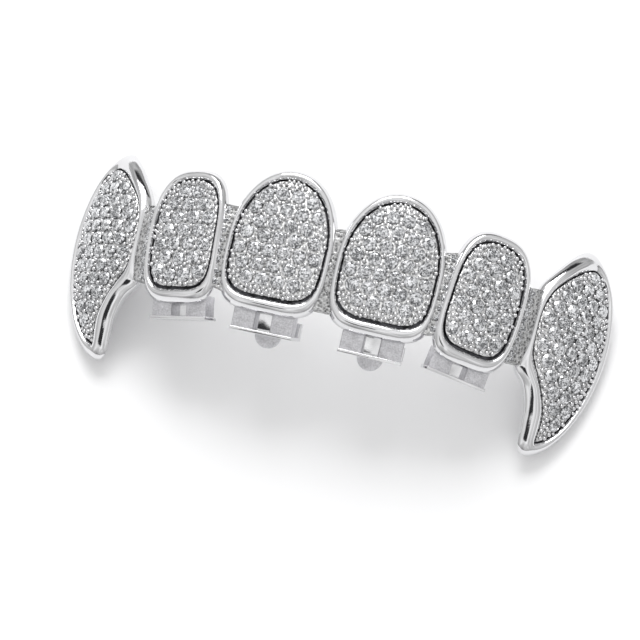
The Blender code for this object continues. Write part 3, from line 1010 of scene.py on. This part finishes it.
class JEWEL_OT_stones(bpy.types.Operator):
    """Fields of brilliant-cut stones: a cut-up plate, the stones, and the beads that hold them"""

    bl_idname = "jewel.stones"
    bl_label = "Stone fields"

    def execute(self, context):
        chance = random.Random(7)
        stone, table_height = cut_stone()
        split_table(stone, table_height)
        small_bead = bead()
        dress(stone, clear_stone())
        dress(small_bead, bead_silver())
        setting = setting_silver()
        groove = shaded_groove_silver()
        for cap in tooth_caps():
            self.set_cap(cap, stone, table_height, small_bead, setting, groove, chance)
        bpy.data.objects.remove(stone)
        bpy.data.objects.remove(small_bead)
        return {"FINISHED"}

    def set_cap(self, cap, stone, table_height, small_bead, setting, groove, chance):
        size = sizes()
        radius = size.stone / 2
        inverse = cap.matrix.inverted()
        outline = cap.plate(-BEAD_OVERHANG)
        beads = None
        for side in ("right", "left"):
            node = f"stones_{cap.name}_{side}"
            tables = packed_tables(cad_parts[node])
            mirror = Matrix.Identity(4) if side == "right" else FLIP
            stones = []
            for centre, outwards in tables:
                place = centre - outwards * table_height * radius
                tilt = chance.uniform(0, 1) * STONE_TILT
                turns = (chance.uniform(0, math.tau), tilt, chance.uniform(0, math.tau))
                stones.append(facing(place, outwards, radius, *turns))
            if beads is None:
                spots = np.array([tuple(inverse @ centre)[:2] for centre, _ in tables])
                beads = bead_places(outline, spots, radius, size.bead, size.least_bead)
            knobs = []
            for u, v, knob in beads:
                foot = Vector((u, v, cap.face(u, v) - size.plate_sink + knob * BEAD_STAND))
                knobs.append(facing(mirror @ cap.matrix @ foot, Vector((0, 0, 1)), knob))
            # The plate's drop at its edge takes the groove material, painted shade
            plate = loft("plate", plate_rings(cap), range(len(INNER_SHARES) + 1, len(INNER_SHARES) + 2))
            plate.data.transform(mirror @ cap.matrix)
            if side == "left":
                plate.data.flip_normals()
            dress(plate, setting, groove)
            held = scatter(small_bead, f"beads_{cap.name}_{side}", knobs)
            field = scatter(stone, f"gems_{cap.name}_{side}", stones, chance)
            plate.name = f"plate_{cap.name}_{side}"
            hand_over(plate, METAL_SLOT, node)
            hand_over(held, METAL_SLOT, node)
            hand_over(field, STONE_SLOT, node)


# Strips


def side_place(cap, height, outer, inset, lift):
    """A place near the side edge of a cap, at a height of the whole jewel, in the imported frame."""
    v = height + cap.sink
    side = sides_of(cap.outline())[0 if outer else 1]
    edge = np.interp(v, side[:, 1], side[:, 0])
    u = edge - inset if outer else edge + inset
    return cap.matrix @ Vector((u, v, cap.face(u, v) + lift))


class Strip:
    """The strip between two caps: a band that runs from edge to edge, swollen a little across its middle."""

    def __init__(self, left, right, top, foot, twin):
        self.left = left
        self.right = right
        self.top = top
        self.foot = foot
        self.twin = twin

    def place(self, across, height, inset=0.0):
        """A place on the strip's face: across from 0 at the left edge to 1 at the right."""
        size = sizes()
        left = self.left(height, inset, -size.strip_sink)
        right = self.right(height, inset, -size.strip_sink)
        swell = Vector((0, 0, size.strip_bulge * 4 * across * (1 - across)))
        return left.lerp(right, across) + swell

    def dip(self, across, height):
        """How far the strip is drawn down at a height, most at its top and in the middle."""
        share = (height - self.foot) / (self.top - self.foot)
        return sizes().strip_notch * 4 * across * (1 - across) * max(0.0, share) ** 4

    def outwards(self, across, height):
        step = 0.0002
        side = self.place(min(1, across + 0.1), height) - self.place(max(0, across - 0.1), height)
        up = self.place(across, height + step) - self.place(across, height - step)
        return side.cross(up).normalized()

    def width(self, height):
        return (self.place(1, height) - self.place(0, height)).length


def tooth_strips():
    central, lateral, fang = tooth_caps()

    def beside(cap, outer):
        return lambda height, inset, lift: side_place(cap, height, outer, inset, lift)

    def mirrored(height, inset, lift):
        place = side_place(central, height, False, inset, lift)
        return Vector((-place.x, place.y, place.z))

    foot = -central.drop * STRIP_FOOT
    rises = (central.rise, lateral.rise, lateral.rise)
    middle, inner, outer = (rise * top for rise, top in zip(rises, STRIP_TOPS))
    return [
        Strip(mirrored, beside(central, False), middle, foot, False),
        Strip(beside(central, True), beside(lateral, False), inner, foot, True),
        Strip(beside(lateral, True), beside(fang, False), outer, foot, True),
    ]


def strip_body(strip):
    """A band with a face, sides and back, drawn as a loft of cross sections from top to foot."""
    rings = []
    for height in np.linspace(strip.top, strip.foot, STRIP_ROWS):
        shares = np.linspace(0, 1, STRIP_COLUMNS)
        ring = [strip.place(share, height - strip.dip(share, height), STRIP_BITE) for share in shares]
        deep = -sizes().strip_depth
        ring.append(strip.right(height, STRIP_BITE, deep))
        ring.append(strip.left(height, STRIP_BITE, deep))
        rings.append(np.array(ring))
    return loft("strip", rings)


def strip_stones(strip, chance):
    """Matrices of the tiny stones: rows down the strip, as many side by side as it has room for."""
    pitch = sizes().strip_stone * STRIP_PITCH
    rows = int((strip.top - strip.foot) / (pitch * ROW_STEP))
    matrices = []
    for row in range(rows):
        height = strip.top - pitch * 0.3 - row * pitch * ROW_STEP
        room = strip.width(height) / pitch
        count = max(1, int(room + 0.35))
        shift = ROW_SHIFT if row % 2 else -ROW_SHIFT
        for i in range(count):
            across = min(0.97, max(0.03, (i + 0.5 + shift) / count))
            level = height - strip.dip(across, height)
            outwards = strip.outwards(across, level)
            radius = pitch / 2 * chance.uniform(*STRIP_SIZES)
            place = strip.place(across, level) - outwards * radius * STRIP_SEAT
            turns = (chance.uniform(0, math.tau), chance.uniform(0, STRIP_TILT), chance.uniform(0, math.tau))
            matrices.append(facing(place, outwards, radius, *turns))
    return matrices


class JEWEL_OT_strips(bpy.types.Operator):
    """Strips between the caps, set with tiny stones"""

    bl_idname = "jewel.strips"
    bl_label = "Set strips"

    def execute(self, context):
        chance = random.Random(19)
        bodies = []
        matrices = []
        for strip in tooth_strips():
            bodies.append(strip_body(strip))
            places = strip_stones(strip, chance)
            matrices += places
            if strip.twin:
                bodies.append(mirror_copy(bodies[-1], "twin"))
                for place in places:
                    spin = Matrix.Rotation(chance.uniform(0, math.tau), 4, "Z")
                    matrices.append(FLIP @ place @ FLIP @ spin)
        # The strips' cut-up metal, painted shade and all, at 0.6 of the usual tone
        band = dress(joined("strips", bodies), setting_silver(0.6))
        make_active(band)
        bpy.ops.object.shade_smooth_by_angle(angle=math.radians(40))
        hand_over(band, METAL_SLOT, CASTING)
        stone, height = cut_stone()
        dress(stone, clear_stone())
        field = scatter(stone, "strip_gems", matrices, chance, STRIP_DIMMING)
        bpy.data.objects.remove(stone)
        hand_over(field, STONE_SLOT, CASTING)
        return {"FINISHED"}


# Brackets


def bracket(cap):
    """Polished parts and blasted lugs of one bracket, with the bar's seat behind a central cap."""
    size = sizes()
    has_seat = cap.name == "central"
    half = size.bracket_width / 2
    gap = half - size.lug_width
    edge = -cap.drop
    front = -LUG_SETBACK - cap.drop**2 / (2 * LONG_ROUND)
    dip = front - LUG_RECESS
    back = front - LUG_DEPTH
    root = edge + size.wall * BRACKET_ROOT
    foot = edge - (size.central_bracket if has_seat else size.lateral_bracket)
    base = foot - SHELF_THICKNESS
    up = (0, root - foot + SHELF_THICKNESS / 2, 0)
    floor = foot - SHELF_THICKNESS / 2
    lugs = []
    for side in (-1, 1):
        plan = [(side * half, front), (side * gap, front), (side * gap, back), (side * half, back)]
        lugs.append(slab("lug", [(u, floor, w) for u, w in plan], up, LUG_ROUNDING))
    reach = gap * RECESS_SPREAD
    plan = [(-reach, dip), (reach, dip), (reach, back), (-reach, back)]
    recess = slab("recess", [(u, floor, w) for u, w in plan], up, EDGE_ROUNDING)
    lip = front + SHELF_LIP
    rear = front - (SEAT_DEPTH if has_seat else LUG_DEPTH + SHELF_LIP)
    face = rear + UPSTAND_THICKNESS
    crown = base + UPSTAND_HEIGHT
    wing = half + SHELF_LIP / 2
    side = [(base, rear), (base, lip), (foot, lip)]
    side += [(foot, face), (crown, face), (crown, rear)] if has_seat else [(foot, rear)]
    smooth = [recess, slab("shelf", [(-wing, v, w) for v, w in side], (2 * wing, 0, 0), EDGE_ROUNDING)]
    if has_seat:
        lugs.append(tongue(base, rear))
    pivot = Matrix.Translation((0, edge, front))
    lean = pivot @ Matrix.Rotation(BRACKET_LEAN, 4, "X") @ pivot.inverted()
    for piece in smooth + lugs:
        piece.data.transform(cap.matrix @ lean)
    return smooth, lugs


def tongue(base, rear):
    """A round lobe that hangs from the rear of a shelf."""
    radius = sizes().tongue_radius
    turns = [math.pi * i / TONGUE_STEPS for i in range(TONGUE_STEPS + 1)]
    heel = [(radius * math.cos(a), base - radius * math.sin(a), rear) for a in turns]
    root = [(side * radius, base + SHELF_THICKNESS / 2, rear) for side in (-1, 1)]
    return slab("tongue", heel + root, (0, 0, UPSTAND_THICKNESS), TONGUE_ROUNDING)


class JEWEL_OT_brackets(bpy.types.Operator):
    """Seating brackets behind the biting edges: blasted lugs, a smooth recess, a shelf and a round tongue"""

    bl_idname = "jewel.brackets"
    bl_label = "Brackets"

    def execute(self, context):
        smooth = []
        rough = []
        for cap in tooth_caps():
            if cap.has_bracket:
                polished, lugs = bracket(cap)
                smooth += polished + [mirror_copy(piece, "twin") for piece in polished]
                rough += lugs + [mirror_copy(piece, "twin") for piece in lugs]
        seats = dress(joined("bracket_seats", smooth), polished_silver())
        pads = dress(joined("bracket_lugs", rough), blasted_silver())
        hand_over(seats, METAL_SLOT, CASTING)
        hand_over(pads, METAL_SLOT, CASTING)
        return {"FINISHED"}


# Stage


def camera_matrix():
    """Where the photograph was taken from, aimed so that the arch falls on its own pixel."""
    swing = Matrix.Rotation(PHOTO_YAW, 3, "Z") @ Matrix.Rotation(PHOTO_PITCH, 3, "X")
    toward = swing @ Vector((0, -1, 0))
    level = (-toward).cross(Vector((0, 0, 1))).normalized()
    upright = level.cross(-toward)
    right = level * math.cos(PHOTO_ROLL) + upright * math.sin(PHOTO_ROLL)
    up = upright * math.cos(PHOTO_ROLL) - level * math.sin(PHOTO_ROLL)
    aside = (ARCH_PIXEL[0] - PHOTO_SIZE / 2) / PHOTO_FOCAL
    above = (PHOTO_SIZE / 2 - ARCH_PIXEL[1]) / PHOTO_FOCAL
    ahead = (-toward - right * aside - up * above).normalized()
    right = (right - ahead * right.dot(ahead)).normalized()
    up = right.cross(ahead)
    mouth = Matrix((right, up, -ahead)).transposed().to_4x4()
    mouth.translation = toward * PHOTO_DISTANCE
    lie = Matrix.Rotation(REST_TURN, 4, "X") @ Matrix.Rotation(math.radians(-90), 4, "X")
    return Matrix.Translation((0, REST_BACK, REST_LIFT)) @ lie @ mouth


def pale_floor():
    start_alone()
    bpy.ops.mesh.primitive_plane_add(size=FLOOR_SIDE)
    floor = bpy.context.object
    floor.name = "floor"
    finish = Finish("pale_floor", Roughness=0.6)
    finish.feed("Base Color", finish.place.noise(9.0).shades(colours().floor, 0.985, 1.01))
    dress(floor, finish.material)


def white_dome():
    """A pale surround, brighter overhead, with dark cards that polished metal can reflect."""
    world = bpy.data.worlds.new("dome")
    bpy.context.scene.world = world
    world.use_nodes = True
    direction = Flow(world.node_tree).node("ShaderNodeTexCoord", output=0)

    def share(axis):
        return direction.node("ShaderNodeSeparateXYZ", sockets={"Vector": direction}, output=axis) * 0.5 + 0.5

    aside, along, up = (share(axis) for axis in range(3))
    beyond = up.ramp(BACK_BAND) * along.ramp(BACK_REACH)
    before = up.ramp(FRONT_BAND) * along.ramp(FRONT_REACH) * aside.ramp(FRONT_SIDES)
    room = direction.noise(2.4, 4.0) * 2.0 - 0.05
    tone = (beyond + before).mix(up.ramp(DOME_STOPS) * room, DARK_CARD)
    world.node_tree.links.new(tone.socket, world.node_tree.nodes["Background"].inputs["Color"])


class JEWEL_OT_stage(bpy.types.Operator):
    """Pale floor, white surround, one soft key light and the photograph's camera"""

    bl_idname = "jewel.stage"
    bl_label = "Stage"

    def execute(self, context):
        pale_floor()
        white_dome()
        bpy.ops.object.light_add(type="AREA", location=KEY_PLACE)
        key = bpy.context.object
        key.name = "key"
        key.data.size = KEY_SIDE
        key.data.energy = KEY_POWER
        key.rotation_euler = Vector(KEY_PLACE).to_track_quat("Z", "Y").to_euler()
        bpy.ops.object.camera_add()
        camera = bpy.context.object
        camera.data.sensor_width = SENSOR_WIDTH
        camera.data.lens = SENSOR_WIDTH * PHOTO_FOCAL / PHOTO_SIZE
        camera.data.clip_start = 0.01
        camera.matrix_world = camera_matrix()
        context.scene.camera = camera
        context.scene.view_settings.view_transform = "Standard"
        return {"FINISHED"}


class VIEW3D_PT_jewel(bpy.types.Panel):
    """Sizes, colours and pieces of the jewel"""

    bl_label = "Fanged tooth jewel"
    bl_space_type = "VIEW_3D"
    bl_region_type = "UI"
    bl_category = "Jewel"

    def draw(self, context):
        for settings in (context.scene.jewel_sizes, context.scene.jewel_colours):
            for name in settings.bl_rna.properties.keys():
                if name not in ("rna_type", "name"):
                    self.layout.prop(settings, name)
        for operator in OPERATORS:
            self.layout.operator(operator.bl_idname)


OPERATORS = (JEWEL_OT_caps, JEWEL_OT_stones, JEWEL_OT_strips, JEWEL_OT_brackets, JEWEL_OT_stage)
CLASSES = (JewelSizes, JewelColours, *OPERATORS, VIEW3D_PT_jewel)


def register():
    for entry in CLASSES:
        bpy.utils.register_class(entry)
    bpy.types.Scene.jewel_sizes = bpy.props.PointerProperty(type=JewelSizes)
    bpy.types.Scene.jewel_colours = bpy.props.PointerProperty(type=JewelColours)


def unregister():
    del bpy.types.Scene.jewel_colours
    del bpy.types.Scene.jewel_sizes
    for entry in reversed(CLASSES):
        bpy.utils.unregister_class(entry)


def main():
    register()
    bpy.ops.jewel.caps()
    bpy.ops.jewel.stones()
    bpy.ops.jewel.strips()
    bpy.ops.jewel.brackets()
    bpy.ops.jewel.stage()


if __name__ == "__main__":
    main()
